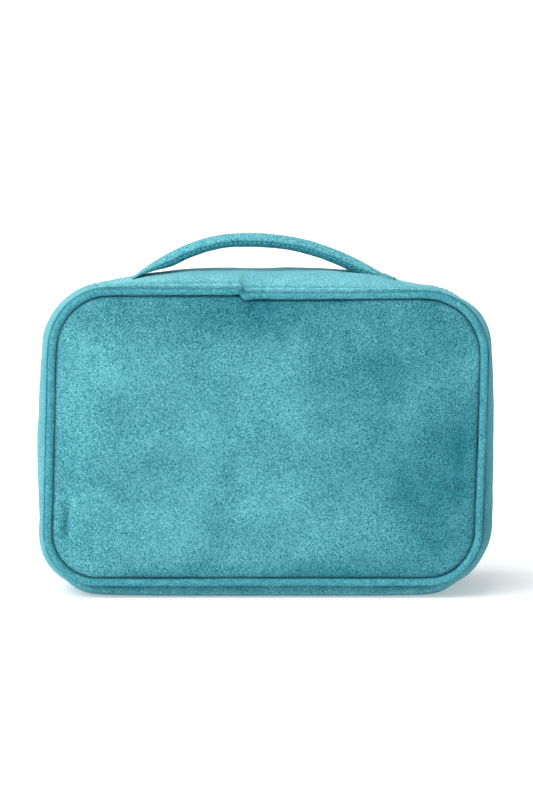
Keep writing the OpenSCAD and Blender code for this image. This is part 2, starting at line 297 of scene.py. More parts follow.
def sheet_faces(rows, count):
    """Faces of two grids of points, front and back, joined round their border."""
    faces = grid_faces(rows, count, False, False)
    faces += [tuple(k + rows * count for k in reversed(face)) for face in faces]
    border = [*range(count), *(i * count + count - 1 for i in range(1, rows)),
              *((rows - 1) * count + j for j in range(count - 2, -1, -1)),
              *(i * count for i in range(rows - 2, 0, -1))]
    for a, b in zip(border, border[1:] + border[:1]):
        faces.append((a, b, b + rows * count, a + rows * count))
    return faces


def joined_at_rim(faces, at_rim):
    """Faces of a sheet and of a second sheet under it that shares its rim points, which at_rim marks."""
    count = len(at_rim)
    lower = np.where(at_rim, np.arange(count), count + np.cumsum(~at_rim) - 1)
    return faces + [tuple(int(lower[i]) for i in face)[::-1] for face in faces]


def band_points(s, y, r_out, r_in):
    """Sections of a band at stations s. y, r_out and r_in have a row for each station."""
    s = s[:, None]
    shape = np.broadcast_shapes(s.shape, np.shape(y), np.shape(r_out), np.shape(r_in))
    y, r_out, r_in = (np.broadcast_to(a, shape) for a in (y, r_out, r_in))
    round_off = (r_out - r_in) * 0.35
    end = around(s, y[:, -1:] + round_off[:, -1:], (r_out + r_in)[:, -1:] / 2)
    start = around(s, y[:, :1] - round_off[:, :1], (r_out + r_in)[:, :1] / 2)
    return np.concatenate([around(s, y, r_out), end, around(s, y, r_in)[:, ::-1], start], axis=1)


def band(name, s, y, r_out, r_in, look, body, stands_for=(), closed=False):
    points = warp(band_points(s, y, r_out, r_in))
    k = points.shape[1] // 2 - 1
    return piece(name, points, band_faces(len(s), k, closed), look, body, stands_for)


def tube(name, path, radius, look, body, stands_for=(), sides=12, up=(0, 1, 0)):
    """A closed tube round a closed path, in the plane square to up. radius is one number or one for each
    point."""
    along = np.roll(path, -1, axis=0) - np.roll(path, 1, axis=0)
    along /= np.linalg.norm(along, axis=1, keepdims=True)
    up = np.broadcast_to(np.array(up, float), path.shape)
    out = np.cross(along, up)
    out /= np.linalg.norm(out, axis=1, keepdims=True)
    turn = np.linspace(0, 2 * math.pi, sides, endpoint=False)[None, :, None]
    radius = np.broadcast_to(radius, len(path))[:, None, None]
    points = path[:, None] + radius * (np.cos(turn) * out[:, None] + np.sin(turn) * up[:, None])
    faces = grid_faces(len(path), sides, True, True)
    return piece(name, points, faces, look, body, stands_for)


def threads(name, start, end, lift, look, body, radius=0.24 * MM):
    """Stitches of thread, each a small arched tube from start to end that stands up along lift."""
    sides, steps = 6, 5
    t = np.linspace(0, 1, steps)[None, :, None]
    arch = np.sin(np.pi * t)
    middle = start[:, None] * (1 - t) + end[:, None] * t + lift[:, None] * (arch - 0.6) * radius * 1.6
    along = end - start
    along = along / np.linalg.norm(along, axis=1, keepdims=True)
    up = lift / np.linalg.norm(lift, axis=1, keepdims=True)
    out = np.cross(along, up)[:, None, None]
    turn = np.linspace(0, 2 * math.pi, sides, endpoint=False)[None, None, :, None]
    width = radius * (0.45 + 0.55 * arch[..., None])
    points = middle[:, :, None] + width * (np.cos(turn) * out + np.sin(turn) * up[:, None, None])
    return piece(name, points, tube_faces(len(start), steps, sides), look, body)


# ---- materials ----


def put(node, name, value):
    """Sets a node's input to a number or colour, or links it to another node's output."""
    if isinstance(value, bpy.types.NodeSocket):
        node.id_data.links.new(value, node.inputs[name])
    else:
        node.inputs[name].default_value = value


def add(tree, kind, inputs=(), **settings):
    node = tree.nodes.new("ShaderNode" + kind)
    for key, value in settings.items():
        setattr(node, key, value)
    for name, value in dict(inputs).items():
        put(node, name, value)
    return node


def speckle(tree, size, detail=2.0, rough=0.5, distortion=0.0, stretch=(1, 1, 1)):
    """Noise from 0 to 1 with features about size across, in metres."""
    coords = add(tree, "TexCoord").outputs["Object"]
    scaled = add(tree, "Mapping", {"Vector": coords, "Scale": stretch}).outputs["Vector"]
    inputs = {"Vector": scaled, "Scale": 1 / size, "Detail": detail, "Roughness": rough,
              "Distortion": distortion}
    return add(tree, "TexNoise", inputs).outputs["Fac"]


def total(tree, terms, start=0.0):
    """start plus each output times its weight."""
    value = start
    for output, weight in terms:
        inputs = {0: output, 1: weight, 2: value}
        value = add(tree, "Math", inputs, operation="MULTIPLY_ADD").outputs[0]
    return value


def ramp(tree, value, stops):
    node = add(tree, "ValToRGB", {"Fac": value})
    elements = node.color_ramp.elements
    while len(elements) < len(stops):
        elements.new(0.5)
    for element, (place, colour) in zip(elements, stops):
        element.position = place
        element.color = (*colour, 1)
    return node.outputs["Color"]


def bump(tree, height, distance, strength=1.0, normal=None):
    inputs = {"Height": height, "Distance": distance, "Strength": strength}
    if normal is not None:
        inputs["Normal"] = normal
    return add(tree, "Bump", inputs).outputs["Normal"]


def surface(name, **inputs):
    """A new material, its tree and its Principled node."""
    look = bpy.data.materials.new(name)
    look.use_nodes = True
    tree = look.node_tree
    shader = tree.nodes["Principled BSDF"]
    for key, value in inputs.items():
        put(shader, key.replace("_", " "), value)
    return look, tree, shader


CLUMP = 0.3


def suede(name, dark, middle, light, patch=0.6, grain=7.0, grain_size=0.62 * MM, relief=0.45 * MM, sheen=0.3):
    """Microsuede: a combed pile that lies light or dark in patches at random, with a fine crinkled grain."""
    look, tree, shader = surface(name, Roughness=0.9, Specular_IOR_Level=0.2, Sheen_Weight=sheen,
                                 Sheen_Roughness=0.4, Sheen_Tint=(0.38, 0.92, 1.0, 1))
    wide = speckle(tree, 34 * MM, 3.0, 0.55, 0.4)
    clump = speckle(tree, 6 * MM, 3.0, 0.6, 0.6)
    fine = speckle(tree, grain_size, 2.0, 0.55, 1.4)
    value = total(tree, [(wide, patch), (clump, CLUMP), (fine, grain)], 0.5 - (patch + CLUMP + grain) / 2)
    cloth = ramp(tree, value, [(0.0, dark), (0.5, middle), (1.0, light)])
    # Painted light and shade, with the rear panel's chance mottle, come in through this attribute and scale
    # the base colour.
    shade_and_mottle = add(tree, "Attribute", attribute_name="shade_and_mottle").outputs["Fac"]
    by_painted_shade = {0: shade_and_mottle, 1: (0.95, 0.60, 0.54), 2: (1, 1, 1)}
    shade = add(tree, "VectorMath", by_painted_shade, operation="MULTIPLY_ADD").outputs[0]
    put(shader, "Base Color", add(tree, "VectorMath", {0: cloth, 1: shade}, operation="MULTIPLY").outputs[0])
    coarse = bump(tree, clump, 0.5 * MM, 0.5)
    put(shader, "Normal", bump(tree, fine, relief, 1.0, coarse))
    return look


def stripes(tree, coords, thread, distortion, **more):
    """Diagonal bands, one for each thread."""
    inputs = {"Vector": coords, "Scale": 1 / (6.3 * thread), "Distortion": distortion, **more}
    return add(tree, "TexWave", inputs, wave_type="BANDS", bands_direction="DIAGONAL").outputs["Fac"]


def tint(tree, shader, value, colour, dark, light):
    """Base colour by value, from dark to light: each is a place on value and a share of the colour."""
    stops = [(place, [c * share for c in colour]) for place, share in (dark, light)]
    put(shader, "Base Color", ramp(tree, value, stops))


def satin(name, colour, thread=0.35 * MM):
    """Smooth lining with a fine twill line and a soft gloss."""
    look, tree, shader = surface(name, Roughness=0.42, Specular_IOR_Level=0.4, Sheen_Weight=0.15,
                                 Sheen_Roughness=0.3)
    coords = add(tree, "TexCoord").outputs["Object"]
    twill = stripes(tree, coords, thread, 0.6, Detail=1.0)
    cloud = speckle(tree, 18 * MM, 2.0)
    shade = total(tree, [(twill, 0.35), (cloud, 0.5)], 0.1)
    tint(tree, shader, shade, colour, (0.0, 0.7), (1.0, 1.25))
    put(shader, "Normal", bump(tree, twill, 0.06 * MM, 0.6))
    return look


def woven(name, colour, thread):
    """Narrow tape: fine threads over and under each other."""
    look, tree, shader = surface(name, Roughness=0.8, Specular_IOR_Level=0.25, Sheen_Weight=0.2,
                                 Sheen_Roughness=0.5)
    coords = add(tree, "TexCoord").outputs["Object"]
    over = stripes(tree, coords, thread, 0.3)
    quarter_turns = {"Vector": coords, "Rotation": (0, math.pi / 2, math.pi / 2)}
    under = stripes(tree, add(tree, "Mapping", quarter_turns).outputs["Vector"], thread, 0.3)
    weave = add(tree, "Math", {0: over, 1: under}, operation="MAXIMUM").outputs[0]
    cloud = speckle(tree, 5 * MM, 2.0)
    shade = total(tree, [(weave, 0.55), (cloud, 0.45)], 0.0)
    tint(tree, shader, shade, colour, (0.1, 0.55), (0.95, 1.4))
    put(shader, "Normal", bump(tree, weave, 0.10 * MM, 0.8))
    return look


def nylon(name, colour):
    look, tree, shader = surface(name, Roughness=0.38, Specular_IOR_Level=0.5)
    cloud = speckle(tree, 2 * MM, 2.0)
    tint(tree, shader, cloud, colour, (0.3, 0.8), (0.7, 1.25))
    put(shader, "Normal", bump(tree, speckle(tree, 0.5 * MM), 0.03 * MM, 0.4))
    return look


def gold(name):
    """Polished pale gold plating with faint rubbing."""
    look, tree, shader = surface(name, Metallic=1.0)
    rub = speckle(tree, 1.5 * MM, 4.0, 0.6, 0.0, (1, 6, 6))
    put(shader, "Base Color", ramp(tree, rub, [(0.3, (0.78, 0.60, 0.34)), (0.7, (0.88, 0.73, 0.47))]))
    put(shader, "Roughness", total(tree, [(rub, 0.22)], 0.12))
    put(shader, "Normal", bump(tree, rub, 0.02 * MM, 0.4))
    return look


def foam_look(name):
    look, tree, shader = surface(name, Roughness=0.95)
    coords = add(tree, "TexCoord").outputs["Object"]
    shade = add(tree, "TexVoronoi", {"Vector": coords, "Scale": 1 / (0.8 * MM)}).outputs["Distance"]
    put(shader, "Base Color", ramp(tree, shade, [(0.0, (0.62, 0.62, 0.58)), (0.6, (0.78, 0.78, 0.75))]))
    put(shader, "Normal", bump(tree, shade, 0.2 * MM, 0.6))
    return look


SUEDE = suede("suede", (0.006, 0.150, 0.200), (0.066, 0.340, 0.405), (0.19, 0.57, 0.63))
SMOOTH = suede("suede_smooth", (0.012, 0.155, 0.200), (0.080, 0.335, 0.392), (0.22, 0.57, 0.62), patch=0.5,
               grain=3.4, grain_size=0.58 * MM, relief=0.16 * MM)
PIPING = suede("piping_suede", (0.006, 0.150, 0.200), (0.056, 0.315, 0.380), (0.18, 0.54, 0.60), patch=0.3,
               grain=2.4, grain_size=0.9 * MM, relief=0.5 * MM)
THREAD = suede("thread", (0.05, 0.28, 0.33), (0.14, 0.47, 0.53), (0.25, 0.62, 0.68), patch=0.1, grain=0.3,
               grain_size=0.4 * MM, relief=0.08 * MM)
LINING = satin("lining", (0.030, 0.145, 0.185))
FOAM = foam_look("foam")
BINDING = woven("binding", (0.018, 0.10, 0.13), 0.5 * MM)
TAPE = woven("zip_tape", (0.03, 0.20, 0.25), 0.45 * MM)
ELASTIC = woven("elastic", (0.015, 0.09, 0.12), 0.3 * MM)
NET = woven("net", (0.03, 0.16, 0.20), 0.2 * MM)
COIL = nylon("zip_coil", (0.035, 0.26, 0.32))
METAL = gold("zip_metal")


# ---- the panels ----


def panel_grid(step, rim):
    """Points (x, z) and faces of a panel with the case's round corners: a block in the middle, a strip along
    each side and a fan in each corner. rim is the outline's distance from the corner centres."""
    columns = int(round(2 * CX / step))
    rows = int(round(2 * HALF_Z / step))
    deep = int(round(rim / step))
    turns = 2 * int(round(CORNER_LEN / step / 2))
    points, faces, index = [], [], {}

    def point(x, z):
        key = (round(x * 1e7), round(z * 1e7))
        if key not in index:
            index[key] = len(points)
            points.append((x, z))
        return index[key]

    def patch(at, rows, columns):
        for i in range(rows):
            for j in range(columns):
                corners = [at(i, j), at(i, j + 1), at(i + 1, j + 1), at(i + 1, j)]
                ids = []
                for corner in corners:
                    k = point(*corner)
                    if k not in ids:
                        ids.append(k)
                faces.append(tuple(ids))

    depth = [rim * (1 - (1 - i / deep) ** 1.5) for i in range(deep + 1)]
    patch(lambda i, j: (-CX + 2 * CX * j / columns, -HALF_Z + 2 * HALF_Z * i / rows), rows, columns)
    for side in (-1, 1):
        patch(lambda i, j: (-CX + 2 * CX * j / columns, side * (HALF_Z + depth[i])), deep, columns)
        patch(lambda i, j: (side * (CX + depth[j]), -HALF_Z + 2 * HALF_Z * i / rows), rows, deep)
        for end in (-1, 1):
            def corner(i, j):
                angle = math.pi / 2 * i / turns
                return side * (CX + depth[j] * math.cos(angle)), end * (HALF_Z + depth[j] * math.sin(angle))
            patch(corner, turns, deep)
    return np.array(points), faces


def inset(x, z, rim):
    """How far a panel's point lies inside its outline."""
    over_x, over_z = np.abs(x) - CX, np.abs(z) - HALF_Z
    outside = np.hypot(np.maximum(over_x, 0), np.maximum(over_z, 0))
    inside = np.minimum(np.maximum(over_x, over_z), 0)
    return rim - outside - inside


def inflate(obj, pinned, pressure, cap):
    """Swells a closed mesh by cloth simulation, with the pinned points held and no point moving past cap."""
    rest = np.array([v.co for v in obj.data.vertices])
    group = obj.vertex_groups.new(name="pinned")
    group.add([int(i) for i in np.flatnonzero(pinned)], 1.0, "REPLACE")
    cloth = obj.modifiers.new("Cloth", "CLOTH")
    cloth.settings.vertex_group_mass = "pinned"
    cloth.settings.quality = 6
    cloth.settings.tension_stiffness = 40
    cloth.settings.compression_stiffness = 40
    cloth.settings.bending_stiffness = 4
    cloth.settings.use_pressure = True
    cloth.settings.uniform_pressure_force = pressure
    cloth.settings.effector_weights.gravity = 0
    cloth.collision_settings.use_collision = False
    cloth.collision_settings.use_self_collision = False
    cloth.point_cache.frame_start = 1
    cloth.point_cache.frame_end = 20
    scene = bpy.context.scene
    for moment in range(1, 21):
        scene.frame_set(moment)
    depsgraph = bpy.context.evaluated_depsgraph_get()
    moved = np.array([v.co for v in obj.evaluated_get(depsgraph).data.vertices])
    obj.modifiers.remove(cloth)
    scene.frame_set(1)
    shift = moved - rest
    length = np.linalg.norm(shift, axis=1, keepdims=True)
    shift *= np.minimum(1, cap / np.maximum(length, 1e-9))
    return rest + shift


RIM_Y = 47.3 * MM
EDGE_ROUND = 1.7 * MM
PANEL_STEP = 2.0 * MM
PANEL_HALF = (CX + R_PANEL, HALF_Z + R_PANEL)
CREASES = [
    # both ends (across, up) in shares of the panel's half size, then half width and depth in millimetres
    ((-0.93, -0.43), (-0.94, -0.73), 1.9, 2.3),
    ((-0.90, -0.35), (-0.90, -0.75), 3.5, -0.7),
    ((0.92, 0.10), (0.93, -0.50), 3.0, 0.55),
    ((-0.10, 1.0), (-0.07, 0.92), 1.8, 0.60),
    ((-0.02, 1.0), (0.01, 0.93), 1.6, 0.45),
]


def crease_depth(x, z):
    """Depth of the creases at a panel's points, which fade out towards their ends."""
    depth = np.zeros(len(x))
    for start, end, half, deep in CREASES:
        a, b = (np.array(place) * PANEL_HALF + (0, Z_MID) for place in (start, end))
        along = b - a
        t = ((x - a[0]) * along[0] + (z - a[1]) * along[1]) / (along @ along)
        off = np.hypot(x - a[0] - np.clip(t, 0, 1) * along[0], z - a[1] - np.clip(t, 0, 1) * along[1])
        fade = smooth(1 - np.abs(2 * np.clip(t, -0.3, 1.3) - 1) ** 3 * 0.8)
        depth += deep * MM * np.exp(-(off / (half * MM)) ** 2) * fade
    return depth


PANEL_SHADE = [
    # (across, up), half sizes, both in shares of the panel, and the painted shade (-) or painted light (+)
    # there
    (0.0, 0.95, 0.75, 0.24, -0.80),
    (0.80, -0.1, 0.45, 1.0, -0.75),
    (0.0, -1.0, 1.0, 0.10, -0.60),
    (-0.88, 0.0, 0.12, 0.60, 0.35),
]


def panel_shade_and_mottle(x, z):
    """Painted shade and light on the rear panel: dark under the strap, down the right side and along the
    base, light by the left side, with ragged edges, over a chance mottle of the cloth's own tone."""
    flat = np.stack([x, 0 * x, z], axis=-1)
    across = (x + lumps(flat, 16 * MM, 51) * 7 * MM) / PANEL_HALF[0]
    up = (z - Z_MID + lumps(flat, 16 * MM, 52) * 7 * MM) / PANEL_HALF[1]
    shade = lumps(flat, 30 * MM, 53, 3) * 0.42 + lumps(flat, 12 * MM, 54) * 0.12
    # painted shade and light, patch by patch, over the mottle
    for at, height, wide, high, deep in PANEL_SHADE:
        shade += deep * np.exp(-((across - at) / wide) ** 2 - ((up - height) / high) ** 2)
    return np.clip(shade * 0.8, -0.75, 0.5)


def panel(name, side, nodes, body, seed):
    """A padded panel: two sheets joined at the rim, swollen by simulation, then creased. side is -1 for the
    rear one and 1 for the lid's."""
    rim = R_PANEL + 0.5 * MM
    grid, faces = panel_grid(PANEL_STEP, rim)
    count = len(grid)
    x, z = grid.T
    e = inset(x, z, rim)
    front_y = RIM_Y + (PANEL_FRONT_Y - RIM_Y) * (1 - np.exp(-e / EDGE_ROUND))
    at_rim = e < 0.01 * MM
    outer = np.stack([x, side * front_y, z + Z_MID], axis=-1)
    inner = np.stack([x, np.full(count, side * (PANEL_BACK_Y + 0.05 * MM)), z + Z_MID], axis=-1)[~at_rim]
    points = np.concatenate([outer, inner])
    obj = piece(name, points, joined_at_rim(faces, at_rim), SUEDE, None, nodes)
    pinned = np.ones(len(points), bool)
    pinned[:count] = at_rim
    points = inflate(obj, pinned, pressure=1.2, cap=5 * MM)
    shown = np.arange(len(points)) < count
    x, _, z = points.T
    flat = np.stack([x, 0 * x, z], axis=-1)
    e = inset(x, z - Z_MID, rim)
    within = smooth(e / (4 * MM))
    pucker = lumps(flat, 9 * MM, seed) * 0.35 * MM * np.exp(-e / (6 * MM)) * smooth(e / (1 * MM))
    wave = (lumps(flat, 30 * MM, seed + 1) * 0.6 + lumps(flat, 7 * MM, seed + 2) * 0.14) * MM * within
    relief = pucker + wave
    # Painted shade in the seam's crevice along the panel's rim.
    shade_and_mottle = -0.6 * np.exp(-(e / (0.9 * MM)) ** 2)
    if side < 0:
        creases = crease_depth(x, z) * smooth(e / (2 * MM))
        relief = relief + creases
        # Rear panel: its painted shade and light with the mottle, and painted shade in the creases.
        shade_and_mottle = shade_and_mottle + panel_shade_and_mottle(x, z) - 0.32 * creases / MM
    points[:, 1] -= side * shown * relief
    obj.data.vertices.foreach_set("co", warp(points).ravel())
    obj.data.update()
    paint(obj, shade_and_mottle)
    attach(obj, body)
    return subdivide(obj)


def panel_lining(name, side, node, body, seed):
    """Smooth cloth over the inside of a panel, with a few loose folds."""
    lo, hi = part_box(node)
    near, far = sorted((abs(lo.y), abs(hi.y)))
    grid, faces = panel_grid(4 * MM, hi.x - CX)
    x, z = grid.T
    e = inset(x, z, hi.x - CX)
    flat = np.stack([x, 0 * x, z], axis=-1)
    fold = lumps(flat * (1, 1, 0.5), 18 * MM, seed) * 0.35 * MM * smooth(e / (10 * MM))
    count = len(grid)
    inner = np.stack([x, side * (near + 0.35 * MM - fold), z + Z_MID], axis=-1)
    outer = np.stack([x, np.full(count, side * far), z + Z_MID], axis=-1)
    at_rim = e < 0.01 * MM
    points = warp(np.concatenate([inner, outer[~at_rim]]))
    return piece(name, points, joined_at_rim(faces, at_rim), LINING, body, (node,))


# ---- piping ----


def piping(name, cord_name, y, joint_s, seed, body, nodes):
    """Cloth tube round a cord, all the way round the case. Its ends overlap at joint_s."""
    s = whole_ring(1.0 * MM)
    past = np.mod(s - joint_s + RING_LEN / 2, RING_LEN) - RING_LEN / 2
    notch = np.exp(-(past / (0.9 * MM)) ** 2)
    after = np.exp(-((past - 3.0 * MM) / (2.4 * MM)) ** 2)
    before = np.exp(-((past + 2.6 * MM) / (1.6 * MM)) ** 2)
    along = np.stack([s, 0 * s, 0 * s], axis=-1)
    drift = lumps(along, 20 * MM, seed) * 0.30 * MM
    proud = 0.8 * MM * (1 + 0.3 * lumps(along, 13 * MM, seed + 2)) - 0.5 * MM * notch
    if y > 0:
        proud = proud * 0.6 * (1 - base_share(s))
    slim = above(s) * 0.16
    rise = drift + 0.5 * MM * before - 0.2 * MM * after - slim * 0.6 * PIPE_R
    path = around(s, y + math.copysign(1, y) * proud, CORNER_R + rise)
    _, _, out_x, out_z = ring_at(s)
    turning = np.abs(out_x * out_z) * 2
    ribs = 0.05 * MM * np.sin(2 * math.pi * s / (2.6 * MM)) * turning
    uneven = 0.05 * lumps(along, 7 * MM, seed + 1)
    radius = PIPE_R * (1 - slim + uneven - 0.22 * notch + 0.12 * after + 0.05 * before)
    path = warp(path)
    sides = 16
    obj = tube(name, path, radius + ribs, PIPING, body, nodes[:1], sides)
    turn = np.linspace(0, 2 * math.pi, sides, endpoint=False)[None, :]
    facing = np.sin(turn) * math.copysign(1, y)
    # Painted shade on the tube's sides that turn into the seams, a little over the whole tube, and more in
    # the joint's notch.
    shade_and_mottle = -0.05 - 0.85 * smooth((0.82 - facing) / 0.75) - 0.6 * notch[:, None]
    paint(obj, np.maximum(shade_and_mottle, -1))
    tube(cord_name, path, CORD_R * 0.9, FOAM, body, nodes[1:], sides=8)


# ---- the gusset ----

SEAM_S = TOP_RIGHT + SEAM_TURN
SEAM_GAP = 0.05 * MM
STITCH_LINE = 3.2 * MM
STITCH_PITCH = 2.75 * MM
# Where the gusset is pinched by the rear piping, by its joint above all, and how deep
PINCHES = [(JOINT_X + 0.4 * MM, 1.0), (JOINT_X + 12.5 * MM, 0.7), (JOINT_X - 7 * MM, 0.35), (55 * MM, 0.3)]


def above(s):
    """1 along the top strip, 0 elsewhere."""
    off = np.abs(np.mod(s + RING_LEN / 2, RING_LEN) - RING_LEN / 2)
    return smooth((SEAM_S + 8 * MM - off) / (16 * MM))


def gusset_relief(s, y, points):
    """Height of the small folds in the gusset's cloth: puckers by the rear piping, a groove along the stitch
    line, and loose waves."""
    from_edge = y + EDGE_Y
    groove = -0.55 * MM * np.exp(-((from_edge - STITCH_LINE) / (0.6 * MM)) ** 2)
    tuck = -2.3 * MM * np.exp(-(from_edge / (0.75 * MM)) ** 2)
    tuck = tuck - 0.7 * MM * above(s) * np.exp(-from_edge / (2 * MM))
    ridge = 0.50 * MM * np.exp(-((from_edge - 1.8 * MM) / (0.8 * MM)) ** 2)
    for at, deep in PINCHES:
        fold = deep * 0.8 * MM * np.exp(-((s - at) / (1.1 * MM)) ** 2)
        ridge = ridge - fold * np.exp(-from_edge / (4.5 * MM))
    pucker = lumps(points, 6 * MM, 11) * 0.30 * MM * np.exp(-from_edge / (6 * MM))
    pucker = pucker * smooth(from_edge / (1 * MM))
    free = smooth(from_edge / (10 * MM)) * smooth((CASE_EDGE_Y - y) / (8 * MM)) * (1 - base_share(s))
    wave = (lumps(points, 26 * MM, 12) * 0.6 + lumps(points, 8 * MM, 13) * 0.15) * MM * free
    return groove + tuck + ridge + pucker + wave


def gusset_surface(s, y):
    """The gusset's outer surface with its folds, as distances from the corner centres."""
    s, y = np.broadcast_arrays(s, y)
    r = gusset_r(s, y)
    return r + gusset_relief(s, y, around(s, y, r))


def columns(start, end, count):
    """Depths across a band, closer together by the rear edge."""
    t = np.linspace(0, 1, count) ** 1.35
    return start + (end - start) * t


def round_section(values):
    """Values for all the points of a band's sections, from those of its outer face."""
    return np.concatenate([values, values[:, -1:], values[:, ::-1], values[:, :1]], axis=1)


def paint_edge(obj, s, y, r):
    """Painted shade on the gusset's cloth where it tucks behind the piping, at the pinches and along the
    stitch line; painted highlight on the welt; painted light over the top and under the strap; shade on the
    right side."""
    from_edge = round_section(y) + EDGE_Y
    pipe_top = (CORNER_R + PIPE_R - 0.55 * MM * above(s))[:, None]
    proud = round_section(r) - pipe_top
    # Painted shade where the cloth tucks behind the piping.
    tuck = smooth(1 - (proud - 0.55 * MM) / (0.6 * MM)) * smooth((4 * MM - from_edge) / (1 * MM))
    # Painted shade along the stitch groove, and a painted highlight on the welt beside it.
    line = np.exp(-((from_edge - STITCH_LINE) / (0.6 * MM)) ** 2)
    welt = np.exp(-((from_edge - 2.0 * MM) / (0.6 * MM)) ** 2) * above(s)[:, None]
    _, _, out_x, out_z = ring_at(s)
    # Painted light over the top and painted shade down the right side, following the light from the upper
    # left.
    shade_and_mottle = (0.42 * smooth(out_z) - 0.52 * smooth(out_x - 0.2))[:, None]
    # Painted light under the strap, lifting its cast shadow.
    under_strap = np.exp(-((from_edge - EDGE_Y - STRAP_Y) / (15 * MM)) ** 2) * above(s)[:, None]
    shade_and_mottle = shade_and_mottle + 0.35 * under_strap
    # Painted shade in the pinches by the piping.
    pinch = sum(deep * np.exp(-((s - at) / (0.9 * MM)) ** 2) for at, deep in PINCHES)[:, None]
    pinch = pinch * np.exp(-from_edge / (4 * MM))
    paint(obj, np.maximum(shade_and_mottle - 0.95 * tuck * (1 - 0.6 * welt) - 0.8 * line + 0.3 * welt - 0.6 * pinch, -1))


def below_zip(s):
    """True between the ends of the zip, along the base."""
    return (s > BOTTOM_RIGHT + GUSSET_STEP) & (s < LEFT - GUSSET_STEP)


def gusset_width(s):
    """Where the case's part of the gusset ends: at the zip, or at the lid's piping along the base."""
    return np.where(below_zip(np.mod(s, RING_LEN)), CASE_EDGE_Y - 0.6 * MM, CASE_LIP_Y)


def gusset():
    t = columns(0, 1, 44)[None, :]
    s = stations(-SEAM_S, SEAM_S, 1.6 * MM)
    y = -EDGE_Y + (CASE_LIP_Y + EDGE_Y) * t + 0 * s[:, None]
    r = gusset_surface(s[:, None], y)
    proud = 0.45 * MM * smooth((SEAM_S - np.abs(s[:, None])) / (1.5 * MM)) * smooth((y + EDGE_Y) / (4 * MM))
    r = r + proud
    obj = band("Gusset_Top", s, y, r, r - CLOTH, SMOOTH, "case", ("gusset_top",))
    paint_edge(obj, s, y, r)
    s = stations(SEAM_S + SEAM_GAP, RING_LEN - SEAM_S - SEAM_GAP, 1.6 * MM)
    steps = [BOTTOM_RIGHT + GUSSET_STEP, LEFT - GUSSET_STEP]
    s = s[np.min([np.abs(s - step) for step in steps], axis=0) > 0.3 * MM]
    s = np.sort(np.concatenate([s] + [[step - 0.03 * MM, step + 0.03 * MM] for step in steps]))
    width = gusset_width(s)[:, None]
    y = -EDGE_Y + (width + EDGE_Y) * t
    r = gusset_surface(s[:, None], y)
    near = np.minimum(s - s[0], s[-1] - s)[:, None]
    r = r - 0.25 * MM * smooth(1 - near / (1.2 * MM))
    obj = band("Gusset_Surround", s, y, r, r - CLOTH, SMOOTH, "case", ("gusset_surround",))
    paint_edge(obj, s, y, r)
    run = np.arange(-SEAM_S + 2 * MM, SEAM_S - 2 * MM, STITCH_PITCH)
    y = np.full(len(run), -EDGE_Y + STITCH_LINE)
    ends = []
    for shift in (0.1, 0.82):
        at = run + shift * STITCH_PITCH
        ends.append(warp(around(at, y, gusset_surface(at, y) + 0.5 * MM)))
    lift = warp(around(run, y, gusset_surface(run, y) + 1.5 * MM))
    lift -= warp(around(run, y, gusset_surface(run, y) + 0.5 * MM))
    lift /= np.linalg.norm(lift, axis=1, keepdims=True)
    threads("Topstitch_Rear", ends[0], ends[1], lift, THREAD, "case", 0.32 * MM)


def gusset_inner():
    s = whole_ring(3 * MM)
    lo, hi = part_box("gusset_foam")
    y = np.linspace(lo.y, hi.y, 16)[None, :]
    r = gusset_r(s[:, None], y)
    r_out, r_in = (r - depth for depth in FOAM_DEPTH)
    band("Gusset_Foam", s, y, r_out, r_in, FOAM, "case", ("gusset_foam",), True)
    end = np.where(below_zip(s), CASE_EDGE_Y - 1.4 * MM, CASE_LIP_Y - 1.5 * MM)[:, None]
    y = lo.y + (end - lo.y) * np.linspace(0, 1, 26)[None, :]
    r = gusset_r(s[:, None], y)
    wrinkle = lumps(around(s[:, None], y, r), 16 * MM, 21) * 0.25 * MM
    r_out, r_in = (r - depth - 0.3 * MM + wrinkle for depth in LINING_DEPTH)
    band("Gusset_Lining", s, y, r_out, r_in, LINING, "case", ("gusset_lining",), True)


# ---- the handle ----

STRAP_T = 7.3 * MM
APEX_X = -11 * MM
ARCH_POWER = 2.1
ARCH_LEFT = (64.4 * MM, 24.9 * MM)
ARCH_RIGHT = (84.4 * MM, 27.7 * MM)
STRAP_TOP = strap_hi.z + 1.0 * MM
STRAP_RUN = (-75.5 * MM, 73 * MM)
STRAP_SECTION = [
    # (across, up) as a share of the half width and of the thickness: padded top, stitched groove, rolled edge
    (0.0, 0.0), (0.35, -0.045), (0.62, -0.17), (0.82, -0.36), (0.935, -0.54), (0.925, -0.66), (0.995, -0.78),
    (0.96, -0.92), (0.78, -1.0), (0.4, -1.0), (0.0, -1.0),
]
STRAP_GROOVE = 5


def arch_z(x):
    """Height of the strap's top."""
    left = ARCH_LEFT[1] * (np.abs(x - APEX_X) / ARCH_LEFT[0]) ** ARCH_POWER
    right = ARCH_RIGHT[1] * (np.abs(x - APEX_X) / ARCH_RIGHT[0]) ** ARCH_POWER
    return STRAP_TOP - np.where(x < APEX_X, left, right)


